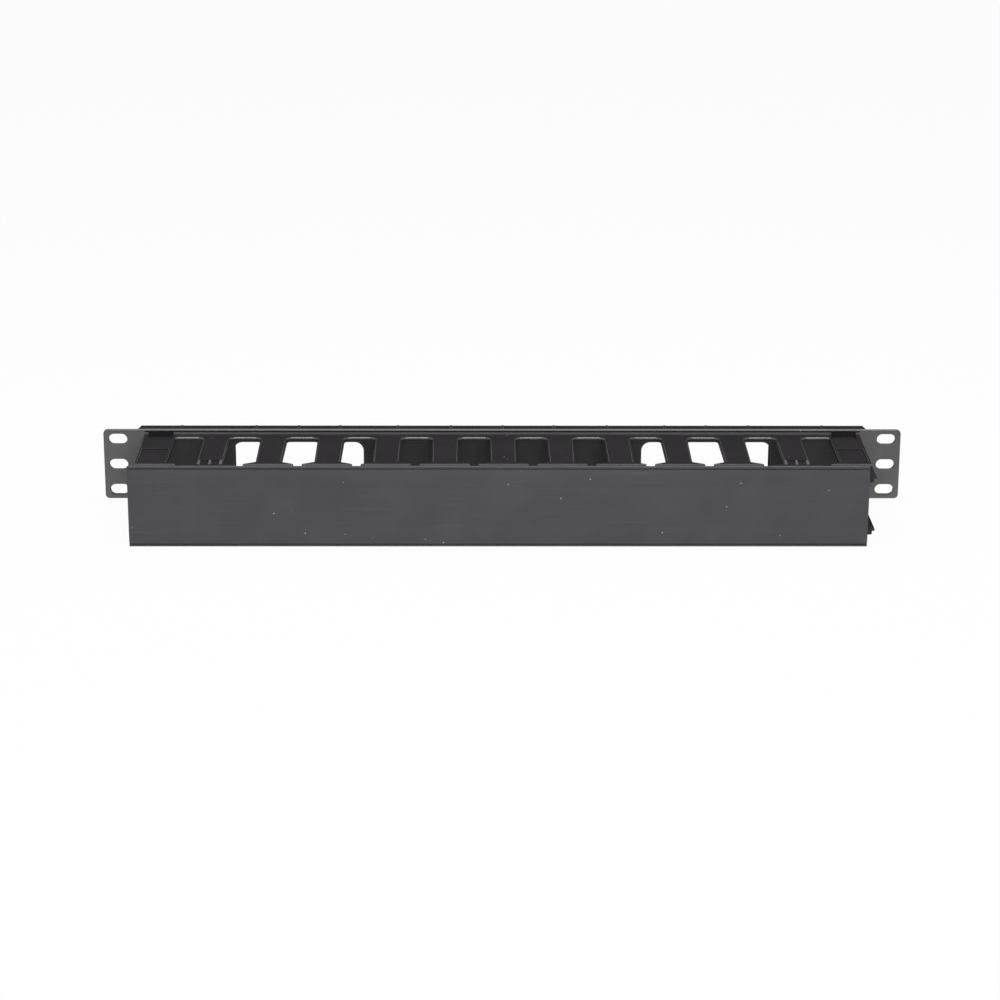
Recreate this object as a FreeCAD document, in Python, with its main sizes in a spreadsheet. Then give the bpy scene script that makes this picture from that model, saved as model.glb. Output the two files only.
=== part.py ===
import FreeCAD, Part
import math
import os
import Sketcher

# Horizontal cable manager for a 19-inch rack, one rack unit high, front side only.
# It is two pieces: a one-piece moulded base with two combs of T-headed fingers,
# and an extruded cover whose hooks sit on the beads at the fingers' tips.
# Frame, in millimetres: the origin is the middle of the six rack slots, on the face
# of the ears that lies against the rack rails. +X runs along the unit to the right,
# +Y into the rack and +Z up, so the front of the object looks towards -Y.

DOC = FreeCAD.newDocument("cable_manager")
SHEET = DOC.addObject("Spreadsheet::Sheet", "dims")

# Every reach is measured forwards from the mounting face of the ears.
DIMENSIONS = [
    ("rack_width", 482.6, "overall width over the ears, 19 inches"),
    ("unit_height", 43.2, "height of the ears and the panel"),
    ("ear_thickness", 3.0, "wall of the ears and the panel"),
    ("ear_corner", 2.5, "corner radius of the ears"),
    ("hole_spacing", 465.1, "rack screw centres, left to right"),
    ("hole_pitch", 15.875, "rack screw centres, up and down"),
    ("hole_width", 6.6, "height of a rack slot"),
    ("hole_length", 11.2, "length of a rack slot"),
    ("rim_width", 442.0, "rear rim, which passes between the rails"),
    ("rim_height", 41.2, "rear rim, outside"),
    ("rim_depth", 10.7, "rear rim, behind the mounting face"),
    ("rim_wall", 2.2, "wall of the rear rim"),
    ("rib_wall", 1.6, "wall of the rear ribs"),
    ("rib_1", 31.3, "rib beside the middle one"),
    ("rib_2", 63.5, "second rib"),
    ("rib_3", 98.7, "third rib, broken by the window"),
    ("rib_4", 123.9, "fourth rib, broken by the window"),
    ("rib_5", 149.7, "fifth rib, broken by the window"),
    ("rib_6", 194.8, "last rib"),
    ("rib_proud", 0.25, "how far the ribs stand proud of the rim"),
    ("rim_end_slope", 1.3, "how far the rim's ends lean in at the rear"),
    ("rim_end_reach", 7.0, "how far forwards that slope begins"),
    ("window_centre", 123.4, "middle of a pass-through window"),
    ("window_width", 78.4, "pass-through window"),
    ("window_height", 28.0, "pass-through window"),
    ("window_corner", 5.3, "corner radius of a window"),
    ("window_wall", 2.0, "sleeve round a window, behind the panel"),
    ("comb_top", 18.08, "outer face of a comb, from the middle"),
    ("comb_half", 216.5, "half the width of a comb"),
    ("finger_wall", 2.8, "thickness of the fingers"),
    ("finger_pitch", 34.5, "slot to slot"),
    ("slot_root", 18.3, "slot width at its closed end"),
    ("slot_front", 19.1, "slot width behind the heads"),
    ("slot_corner", 4.0, "corner radius of a slot's closed end"),
    ("slot_start", 6.2, "reach of a slot's closed end"),
    ("slot_edge", 0.8, "sloped outer edge of the slots"),
    ("neck_reach", 56.6, "reach of the necks, where the heads begin"),
    ("head_reach", 60.6, "reach of the heads' upper edge"),
    ("head_chamfer", 0.9, "slope at the front of the heads"),
    ("mouth_width", 4.9, "gap between two heads"),
    ("web_wall", 1.4, "web between a head and its bead"),
    ("bead_reach", 80.65, "reach of the bead's axis"),
    ("bead_radius", 2.75, "bead at the tip of a finger"),
    ("bead_half", 214.6, "half the width of the row of beads"),
    ("root_fillet", 0.9, "slope where a comb meets the panel"),
    ("groove_top", 21.2, "upper edge of the groove along the panel"),
    ("groove_wall", 0.8, "height of the groove along the panel"),
    ("groove_depth", 0.6, "depth of the groove along the panel"),
    ("end_rib_inner", 197.5, "inner side of the rib on an end finger"),
    ("end_rib_wall", 1.6, "ribs on an end finger"),
    ("end_rib_width", 3.2, "inner rib with its foot"),
    ("end_recess_start", 29.5, "reach where an end finger's recess begins"),
    ("end_recess_end", 57.5, "reach where an end finger's recess stops"),
    ("end_recess_depth", 1.0, "recess in an end finger"),
    ("relief_centre", 206.4, "middle of the rounded relief at the root"),
    ("relief_width", 15.0, "rounded relief at the root"),
    ("relief_reach", 11.2, "reach of the rounded relief"),
    ("relief_corner", 5.0, "corner radius of the relief"),
    ("relief_depth", 1.2, "relief below the finger's face"),
    ("step_start", 53.0, "reach where the second finger's head steps down"),
    ("gusset_wall", 1.8, "small gussets on the stepped head"),
    ("gusset_pitch", 6.4, "gusset to gusset"),
    ("cover_length", 429.5, "cover, left to right"),
    ("cover_shift", -3.0, "cover slid to the left, as it lies in the photo"),
    ("cover_half", 24.25, "half the height of the cover"),
    ("cover_drop", 0.55, "how far the wall hangs below the middle of its hooks"),
    ("cover_wall", 2.0, "wall of the cover"),
    ("cover_roll", 0.8, "how far the long edges roll back"),
    ("cover_flat", 18.0, "half the height of the flat part"),
    ("cover_bend", 30.0, "radius where the flat part turns into the rolled edges"),
    ("cover_lip", 0.35, "small lip in front of each long edge"),
    ("cover_lip_wall", 1.1, "height of that lip"),
    ("cover_groove", 0.45, "depth and height of the groove beside each lip"),
    ("hook_gap", 0.1, "running clearance between hook and bead"),
    ("hook_wall", 1.8, "inner leg of a hook"),
    ("hook_lip", 3.28, "the hook's short outer lip, beyond the bead's axis"),
]


def fill_sheet():
    """Write each driving dimension into the sheet, one row each, and name its cell."""
    for row, (alias, value, meaning) in enumerate(DIMENSIONS, start=1):
        SHEET.set(f"A{row}", meaning)
        SHEET.set(f"B{row}", str(value))
        SHEET.setAlias(f"B{row}", alias)
    DOC.recompute()


class Size:
    """A length with its number and the sheet expression that it comes from."""

    def __init__(self, value, text):
        self.value = value
        self.text = text

    def _join(self, other, sign, value):
        text = other.text if isinstance(other, Size) else str(other)
        return Size(value, f"({self.text} {sign} {text})")

    def __add__(self, other):
        return self._join(other, "+", self.value + number(other))

    def __sub__(self, other):
        return self._join(other, "-", self.value - number(other))

    def __mul__(self, other):
        return self._join(other, "*", self.value * number(other))

    def __truediv__(self, other):
        return self._join(other, "/", self.value / number(other))

    def __neg__(self):
        return self * -1


def number(item):
    return item.value if isinstance(item, Size) else item


def dim(alias):
    return Size(float(SHEET.get(alias)), f"dims.{alias}")


def origin_feature(body, role):
    return [item for item in body.Origin.OriginFeatures if item.Role == role][0]


def add_sketch(body, name, role, height=None):
    """A sketch on one of the body's own planes, lifted along the plane's normal."""
    sketch = body.newObject("Sketcher::SketchObject", name)
    sketch.AttachmentSupport = (origin_feature(body, role), "")
    sketch.MapMode = "FlatFace"
    if height is not None:
        sketch.AttachmentOffset = FreeCAD.Placement(
            FreeCAD.Vector(0, 0, height.value), FreeCAD.Rotation())
        sketch.setExpression("AttachmentOffset.Base.z", height.text)
    return sketch


def constrain(sketch, kind, places, size):
    """Add one measured constraint and bind it to the sheet."""
    index = sketch.addConstraint(Sketcher.Constraint(kind, *places, number(size)))
    if isinstance(size, Size):
        sketch.setExpression(f"Constraints[{index}]", size.text)


def pin(sketch, edge, point, corner):
    """Fix a point by its distance from the sketch's origin along each axis."""
    constrain(sketch, "DistanceX", (-1, 1, edge, point), corner[0])
    constrain(sketch, "DistanceY", (-1, 1, edge, point), corner[1])


def place(corner):
    return FreeCAD.Vector(number(corner[0]), number(corner[1]), 0)


def outline(sketch, corners):
    """A closed outline. A corner is (x, y), or (x, y, radius) where it is rounded."""
    count = len(corners)
    middle = [place(corner) for corner in corners]
    entry = list(middle)
    leaving = list(middle)
    arcs = {}
    for index, corner in enumerate(corners):
        if len(corner) == 2:
            continue
        back = (middle[index - 1] - middle[index]).normalize()
        ahead = (middle[(index + 1) % count] - middle[index]).normalize()
        half_angle = back.getAngle(ahead) / 2
        radius = number(corner[2])
        entry[index] = middle[index] + back * (radius / math.tan(half_angle))
        leaving[index] = middle[index] + ahead * (radius / math.tan(half_angle))
        bisector = (back + ahead).normalize()
        centre = middle[index] + bisector * (radius / math.sin(half_angle))
        crown = centre - bisector * radius
        arc = Part.Arc(entry[index], crown, leaving[index])
        turns_left = back.cross(ahead).z < 0
        arcs[index] = (sketch.addGeometry(arc, False), turns_left)
    lines = []
    for index in range(count):
        line = Part.LineSegment(leaving[index], entry[(index + 1) % count])
        lines.append(sketch.addGeometry(line, False))
    for index, corner in enumerate(corners):
        before, after = lines[index - 1], lines[index]
        if index not in arcs:
            sketch.addConstraint(Sketcher.Constraint("Coincident", before, 2, after, 1))
            pin(sketch, after, 1, corner)
            continue
        arc, turns_left = arcs[index]
        first, last = (1, 2) if turns_left else (2, 1)
        sketch.addConstraint(Sketcher.Constraint("Tangent", before, 2, arc, first))
        sketch.addConstraint(Sketcher.Constraint("Tangent", arc, last, after, 1))
        constrain(sketch, "Radius", (arc,), corner[2])
        apex = sketch.addGeometry(Part.Point(middle[index]), True)
        pin(sketch, apex, 1, corner)
        sketch.addConstraint(Sketcher.Constraint("PointOnObject", apex, 1, before))
        sketch.addConstraint(Sketcher.Constraint("PointOnObject", apex, 1, after))


def rectangle(sketch, left, right, low, high):
    outline(sketch, [(left, low), (right, low), (right, high), (left, high)])


def circle(sketch, centre, radius):
    shape = Part.Circle(place(centre), FreeCAD.Vector(0, 0, 1), number(radius))
    edge = sketch.addGeometry(shape, False)
    constrain(sketch, "Radius", (edge,), radius)
    pin(sketch, edge, 3, centre)


def long_hole(sketch, centre, length, width):
    """A slot with round ends that lies along the sketch's first axis."""
    reach = (length - width) / 2
    radius = width / 2
    ends = []
    for side, start in ((1, -math.pi / 2), (-1, math.pi / 2)):
        middle = (centre[0] + reach * side, centre[1])
        round_end = Part.Circle(place(middle), FreeCAD.Vector(0, 0, 1), radius.value)
        ends.append(sketch.addGeometry(Part.ArcOfCircle(round_end, start, start + math.pi), False))
        pin(sketch, ends[-1], 3, middle)
    constrain(sketch, "Radius", (ends[0],), radius)
    for first, second in (ends, ends[::-1]):
        line = Part.LineSegment(
            sketch.Geometry[first].EndPoint, sketch.Geometry[second].StartPoint)
        edge = sketch.addGeometry(line, False)
        sketch.addConstraint(Sketcher.Constraint("Tangent", first, 2, edge, 1))
        sketch.addConstraint(Sketcher.Constraint("Tangent", edge, 2, second, 1))


def extrude(body, kind, sketch, size=None, **settings):
    """A Pad or a Pocket of the sketch, as long as the size or right through."""
    feature = body.newObject(f"PartDesign::{kind}", f"{sketch.Name}_{kind.lower()}")
    feature.Profile = sketch
    if size is None:
        feature.Type = "ThroughAll"
    else:
        feature.Length = size.value
        feature.setExpression("Length", size.text)
    for name, value in settings.items():
        setattr(feature, name, value)
    sketch.Visibility = False
    return feature


def checked(body, feature, grows):
    """Recompute, and stop if the feature didn't add or remove material as it should."""
    before = 0 if body.Shape.isNull() else body.Shape.Volume
    DOC.recompute()
    after = body.Shape.Volume
    if (after > before) != grows or abs(after - before) < 1:
        raise RuntimeError(f"{feature.Name} changed the volume from {before:.1f} to {after:.1f}")
    print(f"{feature.Name}: {before:.0f} -> {after:.0f} mm3")
    return feature


def pad(body, sketch, size, **settings):
    return checked(body, extrude(body, "Pad", sketch, size, **settings), True)


def pocket(body, sketch, size=None, **settings):
    return checked(body, extrude(body, "Pocket", sketch, size, **settings), False)


def mirror(body, name, plane, originals, grows):
    feature = body.newObject("PartDesign::Mirrored", name)
    feature.Originals = originals
    feature.MirrorPlane = (origin_feature(body, plane), [""])
    body.Tip = feature
    return checked(body, feature, grows)


TOUCH = 0.001


def soften(body, name, size, chosen):
    """A small slope along the edges of the solid so far for which the test says yes."""
    base = body.Tip
    edges = [f"Edge{count}" for count, edge in enumerate(body.Shape.Edges, start=1) if chosen(edge)]
    feature = body.newObject("PartDesign::Chamfer", name)
    feature.Base = (base, edges)
    feature.Size = size.value
    feature.setExpression("Size", size.text)
    print(f"{name}: {len(edges)} edges")
    return checked(body, feature, False)


def lies_at_height(edge, height):
    """Whether an edge lies this far above or below the middle plane, all along."""
    box = edge.BoundBox
    return all(abs(abs(level) - height.value) < TOUCH for level in (box.ZMin, box.ZMax))


SIDES = (-1, 1)
RIB_PLACES = ("rib_1", "rib_2", "rib_3", "rib_4", "rib_5", "rib_6")
RIBS_AT_WINDOWS = ("rib_3", "rib_4", "rib_5")
SLOT_COUNT = 12


def window_corners(side, growth):
    """Corners of one window, or of a rectangle that much larger all round."""
    middle = dim("window_centre") * side
    half_width = dim("window_width") / 2 + growth
    half_height = dim("window_height") / 2 + growth
    radius = dim("window_corner") + growth
    return [(middle - half_width, -half_height, radius), (middle + half_width, -half_height, radius),
            (middle + half_width, half_height, radius), (middle - half_width, half_height, radius)]


def add_panel(body):
    """The ears and the wall between them, with the rack slots and the two windows."""
    sketch = add_sketch(body, "panel", "XZ_Plane")
    half_width = dim("rack_width") / 2
    half_height = dim("unit_height") / 2
    radius = dim("ear_corner")
    outline(sketch, [(-half_width, -half_height, radius), (half_width, -half_height, radius),
                     (half_width, half_height, radius), (-half_width, half_height, radius)])
    for side in SIDES:
        for level in (-1, 0, 1):
            centre = (dim("hole_spacing") / 2 * side, dim("hole_pitch") * level)
            long_hole(sketch, centre, dim("hole_length"), dim("hole_width"))
        outline(sketch, window_corners(side, 0))
    return pad(body, sketch, dim("ear_thickness"))


def add_back(body):
    """Behind the panel: a rim all round, sleeves round the windows, and upright ribs."""
    depth = dim("rim_depth")
    half_width = dim("rim_width") / 2
    half_height = dim("rim_height") / 2
    wall = dim("rim_wall")
    rim = add_sketch(body, "rim", "XZ_Plane")
    rectangle(rim, -half_width, half_width, -half_height, half_height)
    rectangle(rim, wall - half_width, half_width - wall, wall - half_height, half_height - wall)
    pad(body, rim, depth, Reversed=True)
    ends = add_sketch(body, "rim_ends", "XY_Plane")
    lean = dim("rim_end_slope")
    start = depth - dim("rim_end_reach")
    for side in SIDES:
        outline(ends, [(half_width * side, start), ((half_width - lean) * side, depth),
                       ((half_width - lean) * side, depth + 1), ((half_width + 1) * side, depth + 1),
                       ((half_width + 1) * side, start)])
    pocket(body, ends, half_height * 3, SideType="Symmetric")

    sleeves = add_sketch(body, "window_sleeves", "XZ_Plane")
    for side in SIDES:
        outline(sleeves, [corner[:2] for corner in window_corners(side, dim("window_wall"))])
        outline(sleeves, window_corners(side, 0))
    pad(body, sleeves, depth, Reversed=True)

    ribs = add_sketch(body, "ribs", "XZ_Plane")
    half_rib = dim("rib_wall") / 2
    outer_end = half_height + dim("rib_proud")
    window_side = (dim("window_height") + dim("window_wall")) / 2
    rectangle(ribs, -half_rib, half_rib, -outer_end, outer_end)
    for name in RIB_PLACES:
        for side in SIDES:
            middle = dim(name) * side
            if name in RIBS_AT_WINDOWS:
                rectangle(ribs, middle - half_rib, middle + half_rib, window_side, outer_end)
                rectangle(ribs, middle - half_rib, middle + half_rib, -outer_end, -window_side)
            else:
                rectangle(ribs, middle - half_rib, middle + half_rib, -outer_end, outer_end)
    pad(body, ribs, depth, Reversed=True)


def add_combs(body):
    """Both combs as one section across the unit, and the beads along their front."""
    top = dim("comb_top")
    bottom = top - dim("finger_wall")
    web_top = bottom + dim("web_wall")
    head_front = dim("head_reach") + dim("head_chamfer")
    root = dim("ear_thickness")
    fillet = dim("root_fillet")
    section = add_sketch(body, "comb_section", "YZ_Plane")
    for side in SIDES:
        outline(section, [
            (-root / 2, bottom * side), (-dim("bead_reach"), bottom * side),
            (-dim("bead_reach"), web_top * side), (-head_front, web_top * side),
            (-head_front, (top - dim("head_chamfer")) * side), (-dim("head_reach"), top * side),
            (-root - fillet, top * side), (-root, (top + fillet) * side),
            (-root / 2, (top + fillet) * side)])
    pad(body, section, dim("comb_half") * 2, SideType="Symmetric")

    beads = add_sketch(body, "beads", "YZ_Plane")
    for side in SIDES:
        circle(beads, (-dim("bead_reach"), bead_height() * side), dim("bead_radius"))
    pad(body, beads, dim("bead_half") * 2, SideType="Symmetric")


def bead_height():
    return dim("comb_top") - dim("finger_wall") + dim("web_wall") / 2


def cut_slots(body):
    """One slot shape, narrow at its mouth, cut through both combs and repeated."""
    start = dim("finger_pitch") * (-(SLOT_COUNT - 1) / 2)
    root = dim("slot_root") / 2
    front = dim("slot_front") / 2
    mouth = dim("mouth_width") / 2
    beyond = dim("bead_reach") + dim("bead_radius") * 2
    closed_end = -dim("slot_start")
    neck = -dim("neck_reach")
    head = -dim("head_reach")
    sketch = add_sketch(body, "slot", "XY_Plane")
    radius = dim("slot_corner")
    outline(sketch, [
        (start - mouth, -beyond), (start + mouth, -beyond), (start + mouth, head),
        (start + front, neck), (start + root, closed_end, radius),
        (start - root, closed_end, radius), (start - front, neck), (start - mouth, head)])
    cut = pocket(body, sketch, dim("unit_height") * 2, SideType="Symmetric")
    row = body.newObject("PartDesign::LinearPattern", "slots")
    row.Originals = [cut]
    row.Direction = (origin_feature(body, "X_Axis"), [""])
    length = dim("finger_pitch") * (SLOT_COUNT - 1)
    row.Length = length.value
    row.setExpression("Length", length.text)
    row.Occurrences = SLOT_COUNT
    body.Tip = row
    checked(body, row, False)

    def along_slot(edge):
        box = edge.BoundBox
        behind_heads = box.Center.y > neck.value and box.YMax < closed_end.value + TOUCH
        in_slot = box.XLength < dim("finger_pitch").value
        return lies_at_height(edge, dim("comb_top")) and behind_heads and in_slot

    soften(body, "slot_slopes", dim("slot_edge"), along_slot)


def add_groove(body):
    """A fine groove along the panel, above and below the combs."""
    sketch = add_sketch(body, "groove", "YZ_Plane")
    front = -dim("ear_thickness")
    for side in SIDES:
        rectangle(sketch, front * 2, front + dim("groove_depth"),
                  (dim("groove_top") - dim("groove_wall")) * side, dim("groove_top") * side)
    pocket(body, sketch, dim("comb_half") * 2, SideType="Symmetric")


def add_end_fingers(body):
    """The wide fingers at both ends: an inner rib, a recessed field and a rounded relief."""
    top = dim("comb_top")
    features = []
    ribs = add_sketch(body, "end_ribs", "XY_Plane", top - dim("finger_wall"))
    inner = dim("end_rib_inner")
    for side in SIDES:
        rectangle(ribs, inner * side, (inner + dim("end_rib_width")) * side, -dim("neck_reach"),
                  -dim("slot_start") + 1)
    features.append(pad(body, ribs, dim("finger_wall")))

    recess = add_sketch(body, "end_recess", "XY_Plane", top)
    for side in SIDES:
        rectangle(recess, (inner + dim("end_rib_wall")) * side,
                  (dim("comb_half") - dim("end_rib_wall")) * side,
                  -dim("end_recess_end"), -dim("end_recess_start"))
    features.append(pocket(body, recess, dim("end_recess_depth")))

    ceiling = dim("groove_top") - dim("groove_wall")
    relief = add_sketch(body, "relief", "XY_Plane", ceiling)
    half_width = dim("relief_width") / 2
    rear = dim("relief_depth") - dim("ear_thickness")
    for side in SIDES:
        middle = dim("relief_centre") * side
        outline(relief, [
            (middle - half_width, -dim("relief_reach"), dim("relief_corner")),
            (middle + half_width, -dim("relief_reach"), dim("relief_corner")),
            (middle + half_width, rear), (middle - half_width, rear)])
    features.append(pocket(body, relief, ceiling - top + dim("relief_depth")))
    return features


def add_stepped_heads(body):
    """The heads next to the end fingers step down, and three small gussets carry each step."""
    top = dim("comb_top")
    head_front = dim("head_reach") + dim("head_chamfer")
    centre = dim("finger_pitch") * ((SLOT_COUNT - 2) / 2)
    half_head = (dim("finger_pitch") - dim("mouth_width")) / 2
    step = dim("head_chamfer")
    features = []
    sketch = add_sketch(body, "head_step", "XY_Plane", top)
    for side in SIDES:
        rectangle(sketch, (centre - half_head) * side, (centre + half_head) * side, -head_front,
                  -dim("step_start"))
    features.append(pocket(body, sketch, step))
    for side in SIDES:
        for place_in_row in (-1, 0, 1):
            name = f"gusset_{'left' if side < 0 else 'right'}_{place_in_row + 2}"
            offset = centre * side + dim("gusset_pitch") * place_in_row
            gusset = add_sketch(body, name, "YZ_Plane", offset)
            outline(gusset, [(-head_front, top - step * 1.5), (-dim("step_start"), top - step * 1.5),
                             (-dim("step_start"), top)])
            features.append(pad(body, gusset, dim("gusset_wall"), SideType="Symmetric"))
    return features


def build_base():
    body = DOC.addObject("PartDesign::Body", "base_panel")
    body.Label = "base_panel"
    add_panel(body)
    add_back(body)
    add_combs(body)
    cut_slots(body)
    add_groove(body)
    upper = add_end_fingers(body)
    fills, cuts = upper[:1], upper[1:]
    steps = add_stepped_heads(body)
    cuts.append(steps[0])
    gussets = steps[1:]
    mirror(body, "lower_end_ribs", "XY_Plane", fills, True)
    mirror(body, "lower_cuts", "XY_Plane", cuts, False)
    mirror(body, "lower_gussets", "XY_Plane", gussets, True)
    return body


def build_cover():
    """The cover's section: a flat wall with rolled edges, and a hook behind it for each bead row."""
    body = DOC.addObject("PartDesign::Body", "front_cover")
    body.Label = "front_cover"
    socket = dim("bead_radius") + dim("hook_gap")
    back = dim("bead_reach") + socket
    face = back + dim("cover_wall")
    flat = dim("cover_flat")
    half = dim("cover_half")
    roll = dim("cover_roll")
    lip = dim("cover_lip")
    lip_low = half - dim("cover_lip_wall")
    bend = dim("cover_bend")
    length = dim("cover_length")

    groove = dim("cover_groove")
    upper = [(-face, flat, bend), (roll - face, lip_low - groove), (roll - face + groove, lip_low - groove),
             (roll - face + groove, lip_low), (roll - face - lip, lip_low), (roll - face - lip, half),
             (roll - back, half), (-back, flat, bend)]
    lower = [(reach, -level, *radius) for reach, level, *radius in reversed(upper)]
    drop = dim("cover_drop")
    wall = add_sketch(body, "wall", "YZ_Plane")
    outline(wall, [(reach, level - drop, *radius) for reach, level, *radius in upper + lower])
    pad(body, wall, length, SideType="Symmetric")

    hooks = add_sketch(body, "hooks", "YZ_Plane")
    leg = bead_height() - socket - dim("hook_wall")
    lip_end = bead_height() + dim("hook_lip")
    inside_wall = back + dim("cover_wall") / 2
    for side in SIDES:
        outline(hooks, [
            (-inside_wall, leg * side), (-dim("bead_reach"), leg * side),
            (-dim("bead_reach"), bead_height() * side), (-back, lip_end * side),
            (-inside_wall, lip_end * side)])
    pad(body, hooks, length, SideType="Symmetric")

    sockets = add_sketch(body, "sockets", "YZ_Plane")
    for side in SIDES:
        circle(sockets, (-dim("bead_reach"), bead_height() * side), socket)
    pocket(body, sockets, length + 2, SideType="Symmetric")
    body.Placement = FreeCAD.Placement(
        FreeCAD.Vector(dim("cover_shift").value, 0, 0), FreeCAD.Rotation())
    body.setExpression("Placement.Base.x", dim("cover_shift").text)
    return body


def check_document():
    DOC.recompute()
    for item in DOC.Objects:
        bad = {"Invalid", "Error"} & set(item.State)
        if bad:
            raise RuntimeError(f"{item.Name} is {bad}")


def write_step(body):
    shape = body.Shape
    if shape.isNull() or not shape.isValid() or len(shape.Solids) != 1:
        raise RuntimeError(f"{body.Label} isn't one valid solid")
    os.makedirs("parts", exist_ok=True)
    shape.exportStep(f"parts/{body.Label}.step")
    box = shape.BoundBox
    print(f"{body.Label}: {shape.Volume / 1000:.1f} cm3, {len(shape.Faces)} faces, "
          f"x {box.XMin:.2f} to {box.XMax:.2f}, y {box.YMin:.2f} to {box.YMax:.2f}, "
          f"z {box.ZMin:.2f} to {box.ZMax:.2f}")


fill_sheet()
BODIES = [build_base(), build_cover()]
check_document()
for BODY in BODIES:
    write_step(BODY)
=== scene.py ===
# %% [markdown]
# # Horizontal cable manager
#
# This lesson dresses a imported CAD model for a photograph-like render. The object is a rack
# accessory in black plastic: a moulded base with two combs of T-headed fingers, and an extruded
# cover that clips on the fingers' tips. The CAD model fixes every size, so the lesson reads its
# places from the frame and only adds rounded edges, small moulded details and finishes.

import math

import bmesh
import bpy
from mathutils import Matrix, Vector


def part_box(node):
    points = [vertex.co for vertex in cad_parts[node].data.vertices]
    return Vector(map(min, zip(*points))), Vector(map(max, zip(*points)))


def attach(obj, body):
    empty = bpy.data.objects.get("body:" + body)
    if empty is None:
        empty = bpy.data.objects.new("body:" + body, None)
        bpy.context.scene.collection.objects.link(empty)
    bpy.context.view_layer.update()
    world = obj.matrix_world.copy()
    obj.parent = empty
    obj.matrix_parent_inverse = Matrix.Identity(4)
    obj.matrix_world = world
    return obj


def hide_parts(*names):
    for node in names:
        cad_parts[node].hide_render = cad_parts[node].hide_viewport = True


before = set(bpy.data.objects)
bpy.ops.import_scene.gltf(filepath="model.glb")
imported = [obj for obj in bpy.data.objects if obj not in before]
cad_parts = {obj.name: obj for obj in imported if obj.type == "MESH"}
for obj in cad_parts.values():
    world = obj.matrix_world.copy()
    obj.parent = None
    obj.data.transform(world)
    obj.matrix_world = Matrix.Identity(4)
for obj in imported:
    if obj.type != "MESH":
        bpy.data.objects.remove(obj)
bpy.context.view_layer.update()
MM = 0.001
BASE_LOW, BASE_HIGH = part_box("base_panel")
COVER_LOW, COVER_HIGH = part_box("front_cover")
print("base from", BASE_LOW[:], "to", BASE_HIGH[:])
print("cover from", COVER_LOW[:], "to", COVER_HIGH[:])

# %% [markdown]
# ## The camera
#
# A camera that matches a photograph has the photograph's place, direction and field of view.
# This one was fitted to the rack slots, whose spacing is a standard. It is turned in three steps:
# tilted down from the horizon, turned a little to the right, and rolled by a fifth of a degree.

# %% Camera
CAMERA_PLACE = Vector((-0.019376, -1.656012, 0.508896))
CAMERA_LENS = 102.553
CAMERA_DOWN = math.radians(17.8263)
CAMERA_RIGHT = math.radians(0.6218)
CAMERA_ROLL = math.radians(0.2040)

camera_data = bpy.data.cameras.new("camera")
camera_data.lens = CAMERA_LENS
camera_data.sensor_width = 36.0
camera_data.clip_start = 0.05
camera_data.clip_end = 60.0
camera = bpy.data.objects.new("camera", camera_data)
turned = Matrix.Rotation(-CAMERA_RIGHT, 4, "Z")
tilted = Matrix.Rotation(math.pi / 2 - CAMERA_DOWN, 4, "X")
rolled = Matrix.Rotation(CAMERA_ROLL, 4, "Z")
camera.matrix_world = Matrix.Translation(CAMERA_PLACE) @ turned @ tilted @ rolled
bpy.context.scene.collection.objects.link(camera)
bpy.context.scene.camera = camera
print("camera", round(CAMERA_PLACE.length, 3), "m from the origin")

# %% [markdown]
# ## Small helpers for node trees
#
# Materials and Geometry Nodes are both trees of nodes. Three helpers keep the cells below short:
# one adds a node, one does a step of arithmetic, and one makes a group with its sockets. A value
# is given by the name or number of its socket, and a link is given the same way.

# %% Node helpers
def add_node(tree, kind, settings=None, values=None):
    """Add a node, set its own settings, and set or link its input sockets by name or number."""
    node = tree.nodes.new(kind)
    for name, setting in (settings or {}).items():
        setattr(node, name, setting)
    for name, value in (values or {}).items():
        if isinstance(value, bpy.types.NodeSocket):
            tree.links.new(value, node.inputs[name])
        else:
            node.inputs[name].default_value = value
    return node


def math_node(tree, operation, first, second=0.0):
    """One step of arithmetic between sockets or plain numbers."""
    return add_node(tree, "ShaderNodeMath", {"operation": operation}, {0: first, 1: second}).outputs[0]


def new_group(name, kind, inputs, outputs):
    """A node group with named sockets: each input is (name, socket type, default value)."""
    group = bpy.data.node_groups.new(name, kind)
    for label, socket_type, default in inputs:
        socket = group.interface.new_socket(label, in_out="INPUT", socket_type=socket_type)
        if default is not None:
            socket.default_value = default
    for label, socket_type in outputs:
        group.interface.new_socket(label, in_out="OUTPUT", socket_type=socket_type)
    start = group.nodes.new("NodeGroupInput")
    end = group.nodes.new("NodeGroupOutput")
    return group, start, end


# %% [markdown]
# ## Shader groups that several finishes share
#
# Mould steel is spark eroded, which leaves a fine even grain on the plastic. Handling adds faint
# rubbed streaks, and a few specks of dust lie on every face. Each of these is a shader group, so
# every finish below uses the same effect with its own values. A group gives only masks and
# heights, and the shader itself stays in the material.

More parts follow.
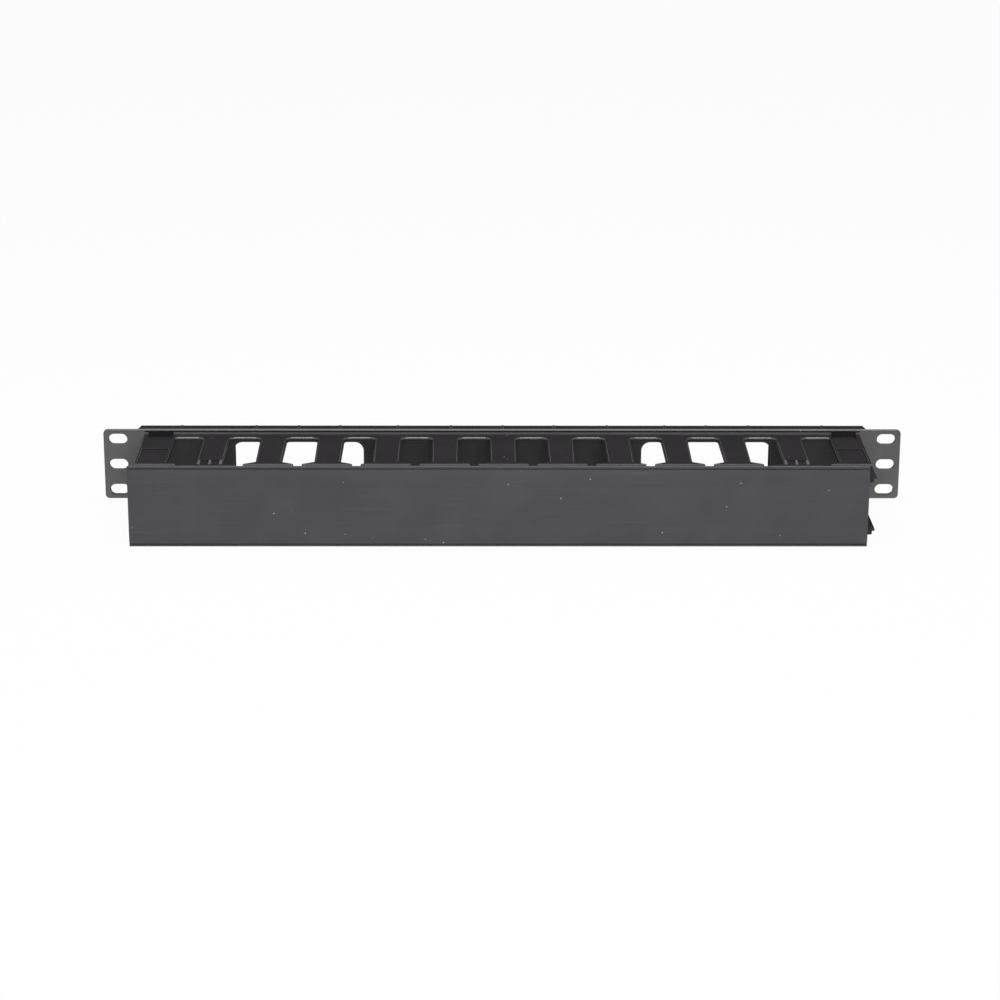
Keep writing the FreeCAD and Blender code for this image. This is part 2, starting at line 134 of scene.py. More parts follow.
# %% Grain of the mould
def make_grain():
    """Fine erosion grain with a slow cloudy change, on Object coordinates."""
    group, start, end = new_group(
        "mould_grain", "ShaderNodeTree",
        [("Grain Size", "NodeSocketFloat", 0.4 * MM), ("Cloud Size", "NodeSocketFloat", 25 * MM)],
        [("Height", "NodeSocketFloat"), ("Clouds", "NodeSocketFloat")])
    place = add_node(group, "ShaderNodeTexCoord").outputs["Object"]
    fine_scale = math_node(group, "DIVIDE", 1.0, start.outputs["Grain Size"])
    cloud_scale = math_node(group, "DIVIDE", 1.0, start.outputs["Cloud Size"])
    fine = add_node(group, "ShaderNodeTexNoise", None,
                    {"Vector": place, "Scale": fine_scale, "Detail": 3.0, "Roughness": 0.6})
    clouds = add_node(group, "ShaderNodeTexNoise", None,
                      {"Vector": place, "Scale": cloud_scale, "Detail": 4.0, "Roughness": 0.55})
    group.links.new(fine.outputs["Fac"], end.inputs["Height"])
    group.links.new(clouds.outputs["Fac"], end.inputs["Clouds"])
    return group


GRAIN = make_grain()
print("group", GRAIN.name, "has", len(GRAIN.nodes), "nodes")

# %% Specks of dust
SPECK_FIRMNESS = 2.0


def make_dust():
    """Specks in scattered cells: each cell of a Voronoi pattern may hold one small speck."""
    group, start, end = new_group(
        "dust_specks", "ShaderNodeTree",
        [("Spacing", "NodeSocketFloat", 6 * MM), ("Speck Size", "NodeSocketFloat", 0.3 * MM),
         ("Share", "NodeSocketFloat", 0.3)],
        [("Mask", "NodeSocketFloat")])
    place = add_node(group, "ShaderNodeTexCoord").outputs["Object"]
    scale = math_node(group, "DIVIDE", 1.0, start.outputs["Spacing"])
    cells = add_node(group, "ShaderNodeTexVoronoi", {"feature": "F1"},
                     {"Vector": place, "Scale": scale, "Randomness": 1.0})
    reach = math_node(group, "DIVIDE", start.outputs["Speck Size"], start.outputs["Spacing"])
    near = math_node(group, "DIVIDE", cells.outputs["Distance"], reach)
    round_speck = math_node(group, "SUBTRACT", 1.0, near)
    cell_colour = add_node(group, "ShaderNodeSeparateColor", None, {"Color": cells.outputs["Color"]})
    luck = cell_colour.outputs["Red"]
    held = math_node(group, "LESS_THAN", luck, start.outputs["Share"])
    firm = math_node(group, "MULTIPLY", round_speck, SPECK_FIRMNESS)
    mask = add_node(group, "ShaderNodeMath", {"operation": "MULTIPLY", "use_clamp": True},
                    {0: firm, 1: held})
    group.links.new(mask.outputs[0], end.inputs["Mask"])
    return group


DUST = make_dust()
print("group", DUST.name, "has", len(DUST.nodes), "nodes")

# %% Rubbed streaks
RUB_LEVEL = 0.62
RUB_CONTRAST = 9.0


def make_rubs():
    """Thin streaks where something slid over the face, longer along one direction."""
    group, start, end = new_group(
        "rub_streaks", "ShaderNodeTree",
        [("Stretch", "NodeSocketVector", (1.0, 1.0, 1.0)), ("Scale", "NodeSocketFloat", 300.0),
         ("Amount", "NodeSocketFloat", 0.4)],
        [("Mask", "NodeSocketFloat")])
    place = add_node(group, "ShaderNodeTexCoord").outputs["Object"]
    stretched = add_node(group, "ShaderNodeVectorMath", {"operation": "MULTIPLY"},
                         {0: place, 1: start.outputs["Stretch"]}).outputs["Vector"]
    lines = add_node(group, "ShaderNodeTexNoise", None,
                     {"Vector": stretched, "Scale": start.outputs["Scale"], "Detail": 2.0})
    height = math_node(group, "SUBTRACT", lines.outputs["Fac"], RUB_LEVEL)
    sharp = add_node(group, "ShaderNodeMath", {"operation": "MULTIPLY", "use_clamp": True},
                     {0: height, 1: RUB_CONTRAST}).outputs[0]
    mask = math_node(group, "MULTIPLY", sharp, start.outputs["Amount"])
    group.links.new(mask, end.inputs["Mask"])
    return group


RUBS = make_rubs()
print("group", RUBS.name, "has", len(RUBS.nodes), "nodes")

# %% [markdown]
# ## The plastics
#
# The base is one plastic with several finishes, because a mould maker polishes some faces and
# textures others. The fingers are satin, and their colour is darker than the border's as painted
# shade for their upward faces. The panel behind them is a little paler than the fingers, a darker
# copy of the border's grey as painted shade in the recess behind the combs. The ears and the
# panel's border are finely grained and look greyer. The edges are smoother, and shine most where
# hands and cables rub them. The cover is extruded, so its streaks run along its length. One
# function builds all seven finishes, and only their values differ.

# %% Finishes
DUST_COLOUR = (0.34, 0.34, 0.35, 1.0)
CLOUD_LOW = 0.3
CLOUD_HIGH = 0.7
CLOUD_DARK = 0.92
CLOUD_PALE = 1.08
RUBBED_PALE = 1.8
ROUGHNESS_SPREAD = 0.05
MIX_FIRST = 6
MIX_SECOND = 7
MIX_RESULT = 2


def scaled(colour, factor):
    """A darker or paler colour, with the alpha that a colour socket needs."""
    return (*[part * factor for part in colour], 1.0)


def mix_colours(tree, factor, first, second):
    """Blend two colours. A Mix node keeps its colour sockets at fixed numbers."""
    node = add_node(tree, "ShaderNodeMix", {"data_type": "RGBA"},
                    {"Factor": factor, MIX_FIRST: first, MIX_SECOND: second})
    return node.outputs[MIX_RESULT]


def make_plastic(name, colour, roughness, gloss, grain, bump, dust, rubs):
    """A plastic whose colour follows clouds, streaks and dust, and whose relief is the grain."""
    material = bpy.data.materials.new(name)
    material.use_nodes = True
    tree = material.node_tree
    shader = tree.nodes["Principled BSDF"]
    grain_node = add_node(tree, "ShaderNodeGroup", {"node_tree": GRAIN}, {"Grain Size": grain})
    dust_node = add_node(tree, "ShaderNodeGroup", {"node_tree": DUST}, dust)
    rubs_node = add_node(tree, "ShaderNodeGroup", {"node_tree": RUBS}, rubs)
    clouds = grain_node.outputs["Clouds"]
    paler = add_node(tree, "ShaderNodeMapRange", None,
                     {"Value": clouds, "From Min": CLOUD_LOW, "From Max": CLOUD_HIGH,
                      "To Min": 0.0, "To Max": 1.0}).outputs["Result"]
    body = mix_colours(tree, paler, scaled(colour, CLOUD_DARK), scaled(colour, CLOUD_PALE))
    rubbed = mix_colours(tree, rubs_node.outputs["Mask"], body, scaled(colour, RUBBED_PALE))
    dusty = mix_colours(tree, dust_node.outputs["Mask"], rubbed, DUST_COLOUR)
    tree.links.new(dusty, shader.inputs["Base Color"])
    rough = add_node(tree, "ShaderNodeMapRange", None,
                     {"Value": clouds, "From Min": CLOUD_LOW, "From Max": CLOUD_HIGH,
                      "To Min": roughness - ROUGHNESS_SPREAD, "To Max": roughness + ROUGHNESS_SPREAD})
    tree.links.new(rough.outputs["Result"], shader.inputs["Roughness"])
    shader.inputs["Specular IOR Level"].default_value = gloss
    relief = add_node(tree, "ShaderNodeBump", None,
                      {"Height": grain_node.outputs["Height"], "Distance": bump, "Strength": 1.0})
    tree.links.new(relief.outputs["Normal"], shader.inputs["Normal"])
    print("finish", name, "with", len(tree.nodes), "nodes")
    return material


FINGER_DUST = {"Spacing": 8 * MM, "Speck Size": 0.42 * MM, "Share": 0.35}
PANEL_DUST = {"Spacing": 9 * MM, "Speck Size": 0.4 * MM, "Share": 0.3}
EDGE_DUST = {"Spacing": 9 * MM, "Speck Size": 0.35 * MM, "Share": 0.1}
COVER_DUST = {"Spacing": 8 * MM, "Speck Size": 0.45 * MM, "Share": 0.6}
FINGER_RUBS = {"Stretch": (1.0, 0.15, 1.0), "Scale": 420.0, "Amount": 0.15}
PANEL_RUBS = {"Stretch": (1.0, 1.0, 0.1), "Scale": 260.0, "Amount": 0.15}
EDGE_RUBS = {"Stretch": (1.0, 0.15, 1.0), "Scale": 420.0, "Amount": 0.2}
COVER_RUBS = {"Stretch": (0.02, 1.0, 1.0), "Scale": 900.0, "Amount": 0.25}

# The fingers' satin is darker than the border's grey: painted shade for the fingers' upward faces.
SATIN_PAINTED_SHADE = make_plastic(
    "satin_fingers_painted_shade", colour=(0.032, 0.0300, 0.032), roughness=0.42, gloss=0.0,
    grain=0.5 * MM, bump=0.006 * MM, dust=FINGER_DUST, rubs=FINGER_RUBS)
GRAINED = make_plastic(
    "grained_border", colour=(0.094, 0.091, 0.093), roughness=0.62, gloss=0.12,
    grain=0.35 * MM, bump=0.02 * MM, dust=PANEL_DUST, rubs=PANEL_RUBS)
# The panel behind the combs is a darker copy of the border's grey: painted shade for the recess.
PANEL_PAINTED_SHADE = make_plastic(
    "satin_panel_painted_shade", colour=(0.049, 0.047, 0.049), roughness=0.5, gloss=0.05,
    grain=0.5 * MM, bump=0.006 * MM, dust=PANEL_DUST, rubs=PANEL_RUBS)
SOFT_EDGE = make_plastic(
    "soft_edges", colour=(0.036, 0.0345, 0.036), roughness=0.40, gloss=0.08,
    grain=0.5 * MM, bump=0.003 * MM, dust=EDGE_DUST, rubs=EDGE_RUBS)
RUBBED = make_plastic(
    "rubbed_edges", colour=(0.040, 0.039, 0.040), roughness=0.28, gloss=0.52,
    grain=0.5 * MM, bump=0.001 * MM, dust=EDGE_DUST, rubs=EDGE_RUBS)
WORN = make_plastic(
    "worn_heads", colour=(0.040, 0.039, 0.040), roughness=0.34, gloss=0.20,
    grain=0.5 * MM, bump=0.001 * MM, dust=EDGE_DUST, rubs=EDGE_RUBS)
EXTRUDED = make_plastic(
    "extruded_cover", colour=(0.0515, 0.0499, 0.0552), roughness=0.48, gloss=0.16,
    grain=0.45 * MM, bump=0.006 * MM, dust=COVER_DUST, rubs=COVER_RUBS)

# %% [markdown]
# ## The moulded base
#
# The CAD node fixes every size, but its edges are razor sharp, and those of a real moulding are
# not. So the base is a copy of the node's mesh with rounded edges.
#
# The node's flat faces come as many thin triangles, and a bevel that runs over them folds. So
# each flat face is first dissolved into one polygon. A very large polygon with many corners can
# fold too, so the ears and the panel are cut beforehand along a few straight lines. The cuts are
# marked as seams, which the dissolving leaves alone.
#
# Then a Bevel modifier rounds the outer edges. It could round every edge, but inner corners meet
# there in ways that tear the mesh, and on this object only the outer edges catch the light. The
# new faces get a finish of their own, because edges are rubbed smooth and shine a little more.

# %% A copy of a node with whole flat faces
MERGE_DISTANCE = 0.002 * MM
SAME_PLACE = 0.01 * MM
UPRIGHT = 0.99
FLAT_ANGLE = math.radians(0.1)
PANEL_FRONT = -3.0 * MM
MOUNTING_FACE = 0.0
EAR_INNER = 216.8 * MM
BAND_HALF = 18.6 * MM
RACK_SLOT_STEP = 15.875 * MM


def cut_flat(shape, depth, least_x, place, direction):
    """Cut the upright flat faces at one depth that reach past least_x, and mark the cut as a seam."""
    faces = [face for face in shape.faces
             if abs(face.normal.y) > UPRIGHT and abs(face.calc_center_median().y - depth) < SAME_PLACE
             and max(abs(corner.co.x) for corner in face.verts) > least_x]
    corners = {corner for face in faces for corner in face.verts}
    edges = {edge for face in faces for edge in face.edges}
    cut = bmesh.ops.bisect_plane(shape, geom=[*corners, *edges, *faces], dist=SAME_PLACE,
                                 plane_co=place, plane_no=direction)["geom_cut"]
    for item in cut:
        if isinstance(item, bmesh.types.BMEdge):
            item.seam = True


def whole_faces(node_name, piece_name):
    """A new object with the node's mesh, where each flat face is one polygon up to a seam."""
    shape = bmesh.new()
    shape.from_mesh(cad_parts[node_name].data)
    bmesh.ops.remove_doubles(shape, verts=shape.verts, dist=MERGE_DISTANCE)
    # Cuts where the ears begin, just beyond the combs, and through the middles of the rack slots.
    for side in (1, -1):
        cut_flat(shape, PANEL_FRONT, 0, (EAR_INNER * side, 0, 0), (1, 0, 0))
        cut_flat(shape, MOUNTING_FACE, 0, (EAR_INNER * side, 0, 0), (1, 0, 0))
        cut_flat(shape, PANEL_FRONT, 0, (0, 0, BAND_HALF * side), (0, 0, 1))
    for step in (-1, 0, 1):
        for depth in (PANEL_FRONT, MOUNTING_FACE):
            cut_flat(shape, depth, EAR_INNER + MM, (0, 0, RACK_SLOT_STEP * step), (0, 0, 1))
    bmesh.ops.dissolve_limit(shape, angle_limit=FLAT_ANGLE, verts=shape.verts, edges=shape.edges,
                             delimit={"NORMAL", "SEAM"})
    mesh = bpy.data.meshes.new(piece_name)
    shape.to_mesh(mesh)
    shape.free()
    # The node's own shading marks go, because the rounded copy gets new ones.
    for name in ("custom_normal", "sharp_edge", "sharp_face"):
        if name in mesh.attributes:
            mesh.attributes.remove(mesh.attributes[name])
    piece = bpy.data.objects.new(piece_name, mesh)
    bpy.context.scene.collection.objects.link(piece)
    print(piece_name, "has", len(mesh.vertices), "vertices and", len(mesh.polygons), "faces")
    return piece


base = whole_faces("base_panel", "base_moulding")

# %% Which edges are rounded
EDGE_RADIUS = 0.25 * MM
SHARP_ANGLE = math.radians(29)
GROOVE_LOW = 19.9 * MM
GROOVE_FRONT = -2.9 * MM
GROOVE_REAR = -1.6 * MM
RELIEF_FRONT = PANEL_FRONT * 1.1
RELIEF_INNER = 198.0 * MM
RELIEF_OUTER = 216.7 * MM
RELIEF_LOW = 18.2 * MM
RELIEF_TOP = 20.6 * MM
HEAD_STEP = -53.0 * MM
STEP_LENGTH = 0.6 * MM


def in_groove(place):
    """Whether a corner lies in the fine groove along the upper or lower edge of the panel."""
    return (abs(place.z) > GROOVE_LOW and GROOVE_FRONT < place.y < GROOVE_REAR
            and abs(place.x) < EAR_INNER)


def in_relief(place):
    """Whether a corner lies in the recess of the panel at the root of an end finger."""
    return (RELIEF_INNER < abs(place.x) < RELIEF_OUTER and RELIEF_FRONT < place.y < GROOVE_REAR
            and RELIEF_LOW < abs(place.z) < RELIEF_TOP)


def weigh_edges(piece):
    """Mark the sharp outer edges, apart from three places whose forms are too fine to round."""
    shape = bmesh.new()
    shape.from_mesh(piece.data)
    weight = shape.edges.layers.float.new("bevel_weight_edge")
    rounded = 0
    for edge in shape.edges:
        if len(edge.link_faces) != 2 or not edge.is_convex or edge.calc_face_angle() < SHARP_ANGLE:
            continue
        ends = [corner.co for corner in edge.verts]
        on_step = (all(abs(end.y - HEAD_STEP) < SAME_PLACE for end in ends)
                   and edge.calc_length() < STEP_LENGTH)
        kept_sharp = on_step or all(map(in_groove, ends)) or any(map(in_relief, ends))
        edge[weight] = 0.0 if kept_sharp else 1.0
        rounded += not kept_sharp
    shape.to_mesh(piece.data)
    shape.free()
    print(rounded, "edges of", piece.name, "are rounded")


weigh_edges(base)

# %% Rounded edges
INNER_ANGLE = math.radians(50)
SATIN_PAINTED_SHADE_SLOT, GRAINED_SLOT, EDGE_SLOT, RUBBED_SLOT, WORN_SLOT, PANEL_PAINTED_SHADE_SLOT = range(6)
for finish in (SATIN_PAINTED_SHADE, GRAINED, SOFT_EDGE, RUBBED, WORN, PANEL_PAINTED_SHADE):
    base.data.materials.append(finish)


def keep_evaluated(piece):
    """Replace a piece's mesh with what its modifiers make of it."""
    graph = bpy.context.evaluated_depsgraph_get()
    result = bpy.data.meshes.new_from_object(piece.evaluated_get(graph))
    piece.modifiers.clear()
    piece.data = result


def round_edges(piece, radius, segments, finish_slot):
    """Bevel the marked edges, then keep the result as a plain mesh with flat faces still flat."""
    bevel = piece.modifiers.new("rounding", "BEVEL")
    bevel.limit_method = "WEIGHT"
    bevel.width = radius
    bevel.segments = segments
    bevel.use_clamp_overlap = False
    bevel.miter_outer = "MITER_ARC"
    bevel.material = finish_slot
    keep_evaluated(piece)
    piece.data.shade_smooth()
    piece.data.set_sharp_from_angle(angle=INNER_ANGLE)
    flats = piece.modifiers.new("flat_faces_first", "WEIGHTED_NORMAL")
    flats.mode = "FACE_AREA"
    flats.weight = 100
    flats.keep_sharp = True
    keep_evaluated(piece)
    print(piece.name, "is rounded:", len(piece.data.polygons), "faces")


round_edges(base, EDGE_RADIUS, 2, EDGE_SLOT)

# %% Finishes on the one moulding
# The heights and depths are those of the CAD part, most of them with a little room.
COMB_TOP = 18.08 * MM
COMB_MARGIN = 0.2 * MM
SLOPE_HEIGHT = 0.85 * MM
SLOPE_LEAST = 0.4
SLOPE_MOST = 0.95
SLOT_END = -12.0 * MM
COMB_OUTER = 212.0 * MM
RAMP_FRONT = -58.8 * MM
RAMP_REAR = -52.9 * MM
RAMP_LEAST = 0.05
RAMP_MOST = 0.3
HEAD_FRONT = -61.6 * MM
HEAD_REAR = -57.5 * MM
HEAD_FACING = 0.3
NEARLY_SQUARE = 0.9
PANEL_MARGIN = 0.1 * MM
PANEL_EDGE = BASE_HIGH.z - 0.3 * MM


def finish_of(face):
    """The finish of a face, from where it lies on the moulding and which way it looks."""
    height = abs(face.center.z)
    forward = abs(face.normal.y)
    upward = abs(face.normal.z)
    rounded = face.material_index == EDGE_SLOT
    if height > PANEL_EDGE and face.center.y < MOUNTING_FACE:
        return RUBBED_SLOT
    on_comb = COMB_TOP - SLOPE_HEIGHT - COMB_MARGIN < height < COMB_TOP
    on_ramp = (on_comb and RAMP_FRONT < face.center.y < RAMP_REAR
               and RAMP_LEAST < forward < RAMP_MOST and upward > NEARLY_SQUARE)
    on_head_edge = (on_comb and HEAD_FRONT < face.center.y < HEAD_REAR
                    and (rounded or forward > HEAD_FACING))
    on_outer_edge = on_comb and rounded and abs(face.center.x) > COMB_OUTER
    if on_ramp or on_head_edge or on_outer_edge:
        return WORN_SLOT
    on_slope = COMB_TOP - SLOPE_HEIGHT < height < COMB_TOP and SLOPE_LEAST < upward < SLOPE_MOST
    at_closed_end = SLOT_END < face.center.y < MOUNTING_FACE and height < COMB_TOP
    if at_closed_end and (on_slope or rounded):
        return RUBBED_SLOT
    if rounded:
        return EDGE_SLOT
    on_ear = abs(face.center.x) > EAR_INNER and face.center.y < MOUNTING_FACE
    on_panel = abs(face.center.y - PANEL_FRONT) < PANEL_MARGIN and face.normal.y < -NEARLY_SQUARE
    if on_ear or (on_panel and height > BAND_HALF):
        return GRAINED_SLOT
    # The panel behind the combs and the fingers take the darker colours that are painted shade.
    return PANEL_PAINTED_SHADE_SLOT if on_panel else SATIN_PAINTED_SHADE_SLOT


for face in base.data.polygons:
    face.material_index = finish_of(face)
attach(base, "base")
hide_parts("base_panel")

# %% [markdown]
# ## The cover
#
# The cover is extruded: one section, pushed out of a die and cut to length. Geometry Nodes
# can say exactly that. The section is a closed line of points, a Fill Curve node makes it a
# face, and an Extrude Mesh node pulls the face along the unit. Changing the length or the
# section changes the cover, as in the real press. The section has a flat front with two fine
# lines, long edges that roll back to a small lip, and a hook for each row of beads.

# %% Sizes of the section
FACE = COVER_LOW.y
WALL = 2.0 * MM
BACK = FACE + WALL
HALF_HEIGHT = (COVER_HIGH.z - COVER_LOW.z) / 2
# The wall hangs a little below the middle of its two hooks.
DROP = -(COVER_HIGH.z + COVER_LOW.z) / 2
FLAT_HALF = 18.0 * MM
BEND_RADIUS = 30.0 * MM
ROLL = 0.8 * MM
LIP_REACH = 0.35 * MM
LIP_HEIGHT = 1.1 * MM
LIP_ROUND = 0.3 * MM
GROOVE = 0.45 * MM
GROOVE_DEPTH = 0.9 * MM
LINE_HEIGHT = 12.0 * MM
LINE_HALF = 0.4 * MM
LINE_DEPTH = 0.06 * MM
# The sockets end level with the beads' axis, which is the rearmost point of the cover.
BEAD_AXIS = Vector((COVER_HIGH.y, 15.98 * MM))
SOCKET_RADIUS = 2.85 * MM
LEG_WALL = 1.8 * MM
HOOK_RISE = 3.28 * MM
HOOK_SLANT = Vector((-SOCKET_RADIUS, HOOK_RISE)).normalized()
LIP_RISE = 3.1 * MM
SOCKET_STEPS = 16
STRAIGHT_DOWN = 1.5 * math.pi
print("section", round(HALF_HEIGHT * 2 / MM, 1), "mm high")


# %% The section as a line of points
def round_corners(corners, steps=4):
    """Points of a closed outline; a corner given with a radius becomes a short arc."""
    points = []
    for index, (corner, radius) in enumerate(corners):
        back = (corners[index - 1][0] - corner).normalized()
        ahead = (corners[(index + 1) % len(corners)][0] - corner).normalized()
        if radius == 0:
            points.append(corner)
            continue
        half_angle = back.angle(ahead) / 2
        centre = corner + (back + ahead).normalized() * radius / math.sin(half_angle)
        first = back * radius / math.tan(half_angle) + corner - centre
        last = ahead * radius / math.tan(half_angle) + corner - centre
        for step in range(steps + 1):
            spoke = first.lerp(last, step / steps).normalized()
            points.append(centre + spoke * radius)
    return points


def wall_corners(side):
    """Corners of the wall's front in its upper or lower half, as (place, radius)."""
    def at(reach, height, radius=0):
        return Vector((reach, height * side - DROP)), radius

    lip_low = HALF_HEIGHT - LIP_HEIGHT
    lip_front = FACE + ROLL - LIP_REACH
    return [at(FACE, LINE_HEIGHT - LINE_HALF), at(FACE + LINE_DEPTH, LINE_HEIGHT),
            at(FACE, LINE_HEIGHT + LINE_HALF), at(FACE, FLAT_HALF, BEND_RADIUS),
            at(FACE + ROLL, lip_low - GROOVE, GROOVE / 4),
            at(FACE + ROLL + GROOVE_DEPTH, lip_low - GROOVE),
            at(FACE + ROLL + GROOVE_DEPTH, lip_low), at(lip_front, lip_low, LIP_ROUND),
            at(lip_front, HALF_HEIGHT, LIP_ROUND), at(BACK + ROLL, HALF_HEIGHT, LIP_ROUND)]


def hook_corners(side):
    """One hook from its lip, round its socket and down its leg, as (place, radius)."""
    def at(place, radius=0):
        return Vector((place.x, place.y * side)), radius

    wall_behind = BACK + ROLL * (BEAD_AXIS.y + LIP_RISE - FLAT_HALF) / (HALF_HEIGHT - FLAT_HALF)
    first = math.atan2(HOOK_SLANT.y, HOOK_SLANT.x)
    socket = []
    for step in range(SOCKET_STEPS + 1):
        angle = first + (STRAIGHT_DOWN - first) * step / SOCKET_STEPS
        socket.append(at(BEAD_AXIS + SOCKET_RADIUS * Vector((math.cos(angle), math.sin(angle)))))
    leg = BEAD_AXIS.y - SOCKET_RADIUS - LEG_WALL
    return [at(Vector((wall_behind, BEAD_AXIS.y + LIP_RISE))), *socket,
            at(Vector((BEAD_AXIS.x, leg)), LIP_ROUND), at(Vector((BACK, leg)))]


def section_corners():
    """The whole section: up the front, over the top and down the back, then along the lower half."""
    corners = []
    for side in (1, -1):
        half = wall_corners(side) + hook_corners(side)
        corners += half if side > 0 else half[::-1]
    return corners


SECTION = round_corners(section_corners())
print("the section has", len(SECTION), "points")


# %% The extrusion as Geometry Nodes
ALONG_X = (math.pi / 2, 0, math.pi / 2)


def extrusion_nodes():
    """Fill a closed section, pull it to its length and turn it to lie along X."""
    group, start, end = new_group(
        "extrusion", "GeometryNodeTree",
        [("Section", "NodeSocketGeometry", None), ("Left End", "NodeSocketFloat", 0.0),
         ("Length", "NodeSocketFloat", 0.4), ("Finish", "NodeSocketMaterial", None)],
        [("Geometry", "NodeSocketGeometry")])
    inputs = start.outputs
    outline = add_node(group, "GeometryNodeMeshToCurve", None, {"Mesh": inputs["Section"]})
    filled = add_node(group, "GeometryNodeFillCurve", {"mode": "NGONS"},
                      {"Curve": outline.outputs["Curve"]})
    pull = add_node(group, "ShaderNodeCombineXYZ", None, {"Z": inputs["Length"]})
    pulled = add_node(group, "GeometryNodeExtrudeMesh", {"mode": "FACES"},
                      {"Mesh": filled.outputs["Mesh"], "Offset": pull.outputs["Vector"],
                       "Offset Scale": 1.0, "Individual": False})
    cap = add_node(group, "GeometryNodeFlipFaces", None, {"Mesh": filled.outputs["Mesh"]})
    both = add_node(group, "GeometryNodeJoinGeometry")
    group.links.new(pulled.outputs["Mesh"], both.inputs["Geometry"])
    group.links.new(cap.outputs["Mesh"], both.inputs["Geometry"])
    closed = add_node(group, "GeometryNodeMergeByDistance", None,
                      {"Geometry": both.outputs["Geometry"], "Distance": MERGE_DISTANCE})
    shift = add_node(group, "ShaderNodeCombineXYZ", None, {"X": inputs["Left End"]})
    turned_section = add_node(group, "GeometryNodeTransform", None,
                              {"Geometry": closed.outputs["Geometry"],
                               "Translation": shift.outputs["Vector"], "Rotation": ALONG_X})
    plain = add_node(group, "GeometryNodeRealizeInstances", None,
                     {"Geometry": turned_section.outputs["Geometry"]})
    painted = add_node(group, "GeometryNodeSetMaterial", None,
                       {"Geometry": plain.outputs["Geometry"], "Material": inputs["Finish"]})
    group.links.new(painted.outputs["Geometry"], end.inputs["Geometry"])
    return group


EXTRUSION = extrusion_nodes()
print("extrusion tree:", len(EXTRUSION.nodes), "nodes")


# %% Making a mesh with a node tree
def grow(piece_name, mesh, tree, values):
    """Run a Geometry Nodes tree on a mesh and keep what comes out as a plain new object."""
    piece = bpy.data.objects.new(piece_name, mesh)
    bpy.context.scene.collection.objects.link(piece)
    nodes = piece.modifiers.new(tree.name, "NODES")
    nodes.node_group = tree
    for item in tree.interface.items_tree:
        if item.item_type == "SOCKET" and item.in_out == "INPUT" and item.name in values:
            nodes[item.identifier] = values[item.name]
    keep_evaluated(piece)
    print(piece_name, "has", len(piece.data.polygons), "faces")
    return piece


section_mesh = bpy.data.meshes.new("cover_section")
section_mesh.from_pydata([(point.x, point.y, 0) for point in SECTION],
                         [(index, (index + 1) % len(SECTION)) for index in range(len(SECTION))], [])
cover = grow("extruded_front_cover", section_mesh, EXTRUSION,
             {"Left End": COVER_LOW.x, "Length": COVER_HIGH.x - COVER_LOW.x, "Finish": EXTRUDED})

# %% The cut ends
CUT_ROUND = 0.12 * MM
CUT_END_SLOT = 1
CURVE_ANGLE = math.radians(32)


def soften_cut_ends(piece):
    """Round the edges of both cut ends a little in a darker finish, and shade the curves smoothly."""
    shape = bmesh.new()
    shape.from_mesh(piece.data)
    bmesh.ops.recalc_face_normals(shape, faces=shape.faces)
    ends = [edge for edge in shape.edges
            if len({round(corner.co.x, 5) for corner in edge.verts}) == 1]
    bmesh.ops.bevel(shape, geom=ends, offset=CUT_ROUND, segments=2, profile=0.5, affect="EDGES",
                    clamp_overlap=False, material=CUT_END_SLOT)
    shape.to_mesh(piece.data)
    shape.free()
    piece.data.shade_smooth()
    piece.data.set_sharp_from_angle(angle=CURVE_ANGLE)
    print(len(ends), "edges at the cut ends are softened")


# The cut ends take the fingers' darker satin, whose colour is painted shade.
cover.data.materials.append(SATIN_PAINTED_SHADE)
soften_cut_ends(cover)
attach(cover, "cover")
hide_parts("front_cover")

# %% [markdown]
# ## The studio
#
# The object stands on a plain pale floor that runs out of the picture. The key lamp is a large
# soft box behind and above the camera, and a long strip overhead draws the thin highlights on
# the edges.
#
# A Light Path node tells which rays are seen: those of the camera, of reflections and of
# transmission. They find the world white and the floor almost white. The other rays only carry
# light, and for them the world is dim and the floor brighter, as a white sheet lights a small
# product from below.

# %% Floor
FLOOR_HALF = 8.0
floor_mesh = bpy.data.meshes.new("floor")
floor_corners = [(-FLOOR_HALF, -FLOOR_HALF), (FLOOR_HALF, -FLOOR_HALF),
                 (FLOOR_HALF, FLOOR_HALF), (-FLOOR_HALF, FLOOR_HALF)]
floor_mesh.from_pydata([(x, y, COVER_LOW.z) for x, y in floor_corners], [], [(0, 1, 2, 3)])
floor = bpy.data.objects.new("floor", floor_mesh)
bpy.context.scene.collection.objects.link(floor)


def seen_ray(tree):
    """1 for the rays that meet the plain white background, 0 for those that only carry light."""
    path = add_node(tree, "ShaderNodeLightPath").outputs
    either = math_node(tree, "MAXIMUM", path["Is Camera Ray"], path["Is Glossy Ray"])
    return math_node(tree, "MAXIMUM", either, path["Is Transmission Ray"])


floor_paint = bpy.data.materials.new("floor_paint")
floor_paint.use_nodes = True
floor_tree = floor_paint.node_tree
floor_shader = floor_tree.nodes["Principled BSDF"]
floor_shader.inputs["Base Color"].default_value = (0.86, 0.86, 0.86, 1.0)
floor_shader.inputs["Roughness"].default_value = 0.9
floor_shader.inputs["Specular IOR Level"].default_value = 0.0
# How much of the floor's look is its own glow: to rays that are seen, and to the others.
FLOOR_WHITE = 0.95
FLOOR_SHARE = 0.9
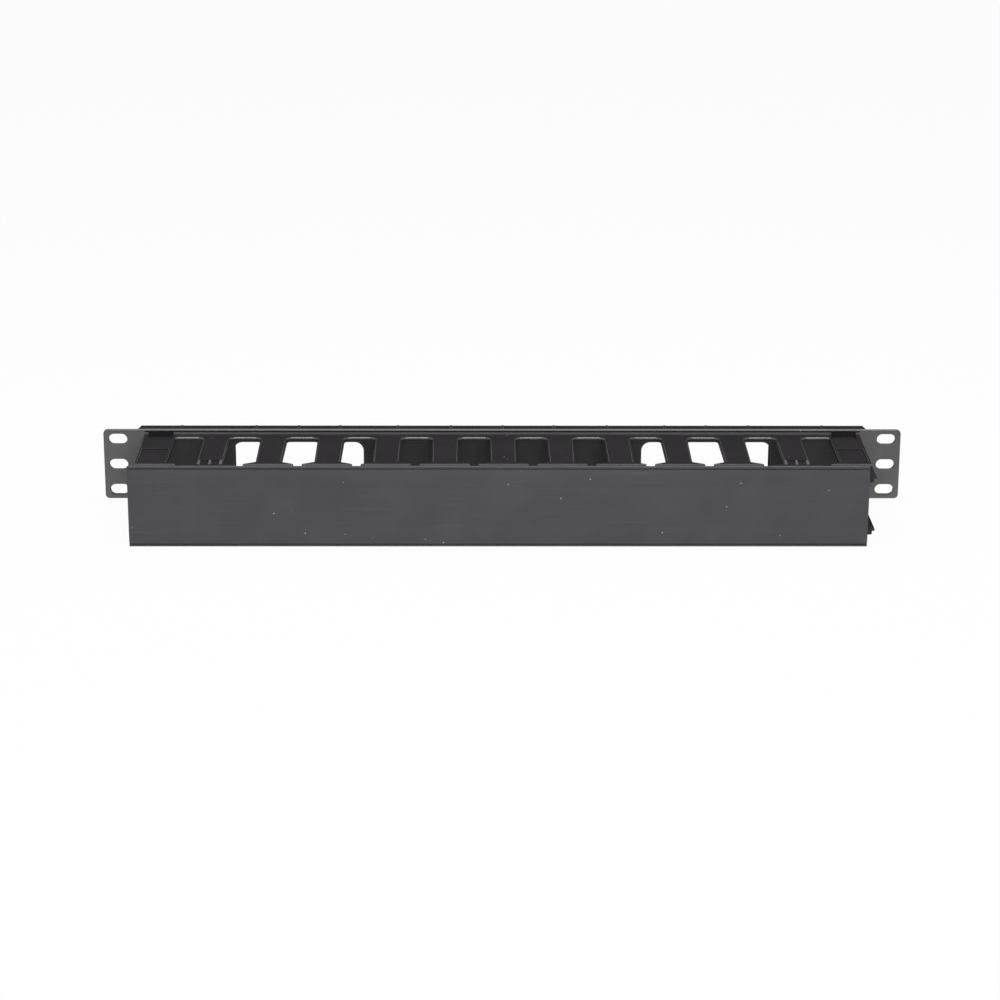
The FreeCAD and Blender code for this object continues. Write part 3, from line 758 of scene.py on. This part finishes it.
# How strongly the floor glows to the rays that only carry light.
FLOOR_BOUNCE = 1.5
seen = seen_ray(floor_tree)
glow_level = add_node(floor_tree, "ShaderNodeMapRange", None,
                      {"Value": seen, "To Min": FLOOR_BOUNCE, "To Max": 1.0}).outputs["Result"]
glow = add_node(floor_tree, "ShaderNodeEmission", None, {"Color": (1, 1, 1, 1), "Strength": glow_level})
share = add_node(floor_tree, "ShaderNodeMapRange", None,
                 {"Value": seen, "To Min": FLOOR_SHARE, "To Max": FLOOR_WHITE}).outputs["Result"]
blend = add_node(floor_tree, "ShaderNodeMixShader", None,
                 {0: share, 1: floor_shader.outputs[0], 2: glow.outputs[0]})
floor_tree.links.new(blend.outputs[0], floor_tree.nodes["Material Output"].inputs["Surface"])
floor_mesh.materials.append(floor_paint)

# %% World
world = bpy.data.worlds.new("studio")
bpy.context.scene.world = world
world.use_nodes = True
AMBIENT = 0.30
backdrop = world.node_tree.nodes["Background"]
light_level = add_node(world.node_tree, "ShaderNodeMapRange", None,
                       {"Value": seen_ray(world.node_tree), "To Min": AMBIENT, "To Max": 1.0})
world.node_tree.links.new(light_level.outputs["Result"], backdrop.inputs["Strength"])
backdrop.inputs["Color"].default_value = (1, 1, 1, 1)

# %% Lamps
def soft_box(name, place, target, width, height, watts):
    """A rectangular area lamp that points at a target."""
    data = bpy.data.lights.new(name, "AREA")
    data.shape = "RECTANGLE"
    data.size = width
    data.size_y = height
    data.energy = watts
    lamp = bpy.data.objects.new(name, data)
    aim = (Vector(target) - Vector(place)).to_track_quat("-Z", "Y")
    lamp.matrix_world = Matrix.Translation(place) @ aim.to_matrix().to_4x4()
    bpy.context.scene.collection.objects.link(lamp)
    print("lamp", name, watts, "W")


MIDDLE = (0, 0, 0)
soft_box("key", place=(0.25, -2.5, 0.95), target=MIDDLE, width=1.6, height=0.9, watts=24)
soft_box("overhead_strip", place=(0, -0.4, 1.5), target=MIDDLE, width=1.8, height=0.3, watts=18)

scene = bpy.context.scene
scene.view_settings.view_transform = "Standard"
